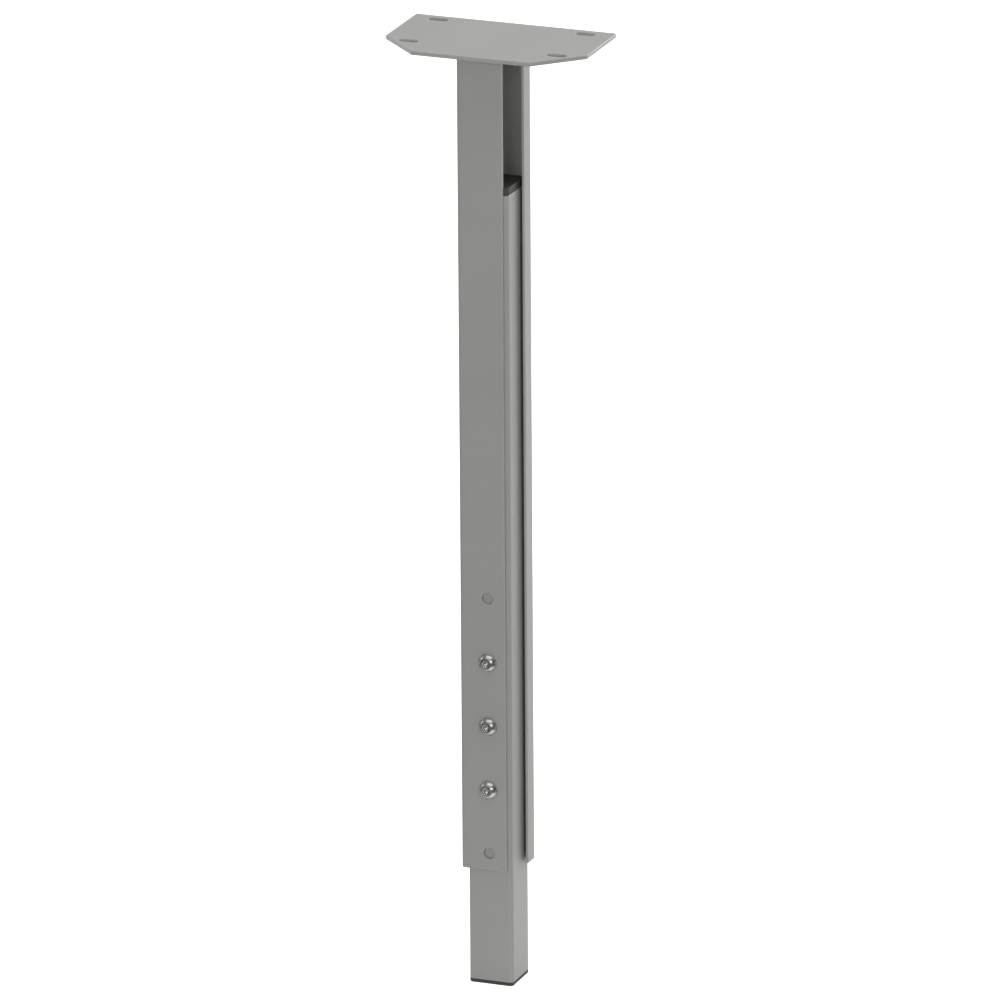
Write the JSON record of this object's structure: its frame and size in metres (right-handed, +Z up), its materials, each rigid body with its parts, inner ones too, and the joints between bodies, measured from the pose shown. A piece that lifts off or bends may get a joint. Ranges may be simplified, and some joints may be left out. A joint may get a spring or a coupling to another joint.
{
  "type": "adjustable table leg",
  "caption": "Telescoping steel table leg: a slotted top plate on an open bent profile that clamps a square tube with screws, so the table's height can be set.",
  "frame": {"origin": "centre of the foot on the floor, on the axis of the inner tube", "axes": "+Z up along the leg, +X towards the open side of the outer profile, -Y towards the clamp screws"},
  "size_m": [0.158, 0.095, 0.73],
  "materials": {
    "grey_coating": "satin silver-grey powder coat",
    "screw_steel": "bright plated steel",
    "bar_steel": "zinc-plated flat bar",
    "black_plastic": "fine-grained black polyethylene"
  },
  "bodies": {
    "lower_leg": {"inner_tube": "grey_coating", "foot_plug": "black_plastic", "top_plug": "black_plastic"},
    "upper_frame": {"mounting_plate": "grey_coating", "outer_profile": "grey_coating", "web_weld": "grey_coating", "back_weld": "grey_coating", "clamp_bar": "bar_steel"},
    "screw_1": {"clamp_screw_1": "screw_steel"},
    "screw_2": {"clamp_screw_2": "screw_steel"},
    "screw_3": {"clamp_screw_3": "screw_steel"}
  },
  "joints": [
    {"name": "height_slide", "type": "slide", "parent": "lower_leg", "child": "upper_frame", "axis": [0, 0, 1], "range_m": [-0.035, 0.035]},
    {"name": "screw_1_turn", "type": "hinge", "parent": "upper_frame", "child": "screw_1", "pos_m": [0, -0.0195, 0.1545], "axis": [0, -1, 0], "range_deg": [0, 360]},
    {"name": "screw_2_turn", "type": "hinge", "parent": "upper_frame", "child": "screw_2", "pos_m": [0, -0.0195, 0.2045], "axis": [0, -1, 0], "range_deg": [0, 360]},
    {"name": "screw_3_turn", "type": "hinge", "parent": "upper_frame", "child": "screw_3", "pos_m": [0, -0.0195, 0.2545], "axis": [0, -1, 0], "range_deg": [0, 360]}
  ]
}
